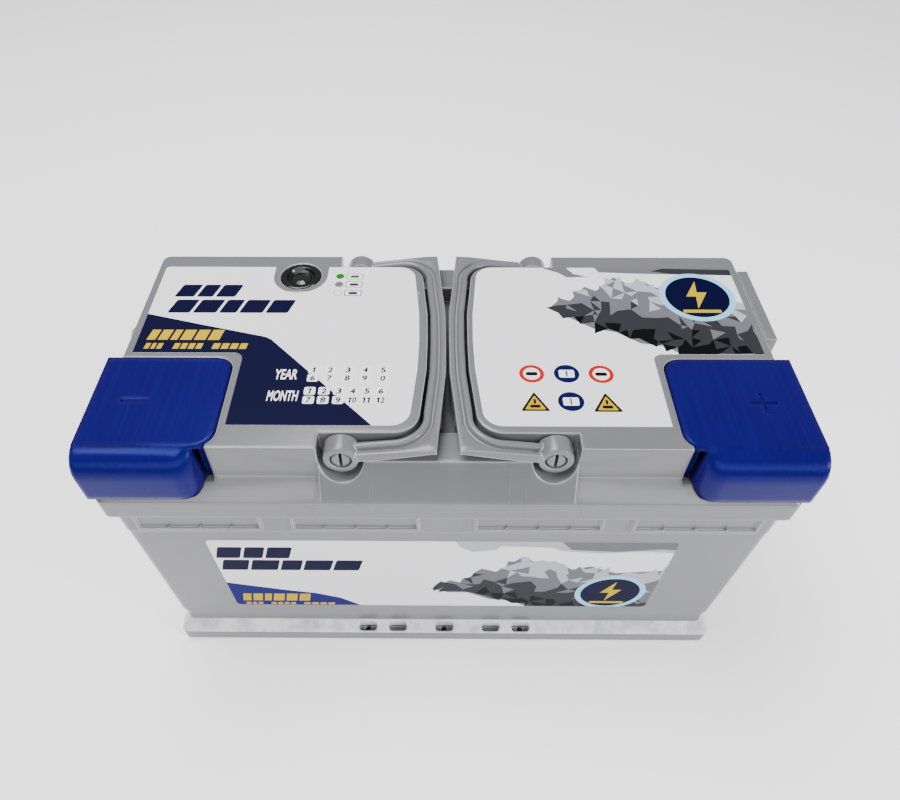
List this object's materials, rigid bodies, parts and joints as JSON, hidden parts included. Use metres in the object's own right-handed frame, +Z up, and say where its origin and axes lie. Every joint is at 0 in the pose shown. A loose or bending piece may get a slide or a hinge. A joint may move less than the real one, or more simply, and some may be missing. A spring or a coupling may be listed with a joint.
{
  "type": "deep cycle battery",
  "caption": "Block-shaped vehicle battery with folding carry handles, lift-off terminal covers, a charge indicator, printed labels and a hold-down ledge round its foot.",
  "frame": {"origin": "middle of the base, on the surface that the battery stands on", "axes": "+X along the battery to its positive end, -Y out of the long side with the label and the terminals, +Z up"},
  "size_m": [0.359, 0.175, 0.19],
  "materials": {
    "case_grey": "satin moulded polypropylene, silver grey",
    "handle_grey": "fine satin moulding, silver grey",
    "cover_blue": "glossy blue moulding",
    "label_film": "printed satin film",
    "indicator_black": "glossy black",
    "indicator_clear": "clear acrylic",
    "ball_green": "green float ball",
    "seal_rubber": "matt black",
    "vent_plastic": "grey moulding",
    "frit": "porous frit",
    "separator": "ribbed microporous sheet",
    "lead": "cast lead alloy, dull with bright scuffs",
    "positive_plate": "lead dioxide paste on a lead grid, brown",
    "negative_plate": "sponge lead paste on a lead grid, grey"
  },
  "bodies": {
    "battery": {"container": "case_grey", "lid": "case_grey", "vent_cover_left": "case_grey", "vent_cover_right": "case_grey", "handle_pin_front_left": "handle_grey", "handle_pin_back_left": "handle_grey", "handle_pin_front_right": "handle_grey", "handle_pin_back_right": "handle_grey", "terminal_bushing_negative": "lead", "terminal_bushing_positive": "lead", "terminal_post_negative": "lead", "terminal_post_positive": "lead", "flame_arrestor_left": "frit", "flame_arrestor_right": "frit", "vent_blanking_plug": "vent_plastic", "vent_hood": "case_grey", "indicator_body": "indicator_black", "indicator_seal": "seal_rubber", "indicator_rod": "indicator_clear", "label_top_left": "label_film", "label_top_right": "label_film", "label_front": "label_film", "negative_plate_group_1": "negative_plate", "positive_plate_group_1": "positive_plate", "separator_pack_1": "separator", "filling_plug_1": "vent_plastic", "negative_plate_group_2": "negative_plate", "positive_plate_group_2": "positive_plate", "separator_pack_2": "separator", "filling_plug_2": "vent_plastic", "negative_plate_group_3": "negative_plate", "positive_plate_group_3": "positive_plate", "separator_pack_3": "separator", "filling_plug_3": "vent_plastic", "negative_plate_group_4": "negative_plate", "positive_plate_group_4": "positive_plate", "separator_pack_4": "separator", "filling_plug_4": "vent_plastic", "negative_plate_group_5": "negative_plate", "positive_plate_group_5": "positive_plate", "separator_pack_5": "separator", "filling_plug_5": "vent_plastic", "negative_plate_group_6": "negative_plate", "positive_plate_group_6": "positive_plate", "separator_pack_6": "separator", "filling_plug_6": "vent_plastic", "cell_weld_1": "lead", "cell_weld_2": "lead", "cell_weld_3": "lead", "cell_weld_4": "lead", "cell_weld_5": "lead"},
    "handle_left": {"handle_left": "handle_grey"},
    "handle_right": {"handle_right": "handle_grey"},
    "cap_negative": {"terminal_cap_negative": "cover_blue"},
    "cap_positive": {"terminal_cap_positive": "cover_blue"},
    "indicator_ball": {"indicator_ball": "ball_green"}
  },
  "joints": [
    {"name": "handle_left_hinge", "type": "hinge", "parent": "battery", "child": "handle_left", "pos_m": [-0.052, 0, 0.181], "axis": [0, -1, 0], "range_deg": [0, 90]},
    {"name": "handle_right_hinge", "type": "hinge", "parent": "battery", "child": "handle_right", "pos_m": [0.052, 0, 0.181], "axis": [0, 1, 0], "range_deg": [0, 90]},
    {"name": "cap_negative_lift", "type": "slide", "parent": "battery", "child": "cap_negative", "axis": [0, 0, 1], "range_m": [0, 0.03]},
    {"name": "cap_positive_lift", "type": "slide", "parent": "battery", "child": "cap_positive", "axis": [0, 0, 1], "range_m": [0, 0.03]},
    {"name": "indicator_ball_float", "type": "slide", "parent": "battery", "child": "indicator_ball", "axis": [0, 0, -1], "range_m": [0, 0.0104]}
  ]
}
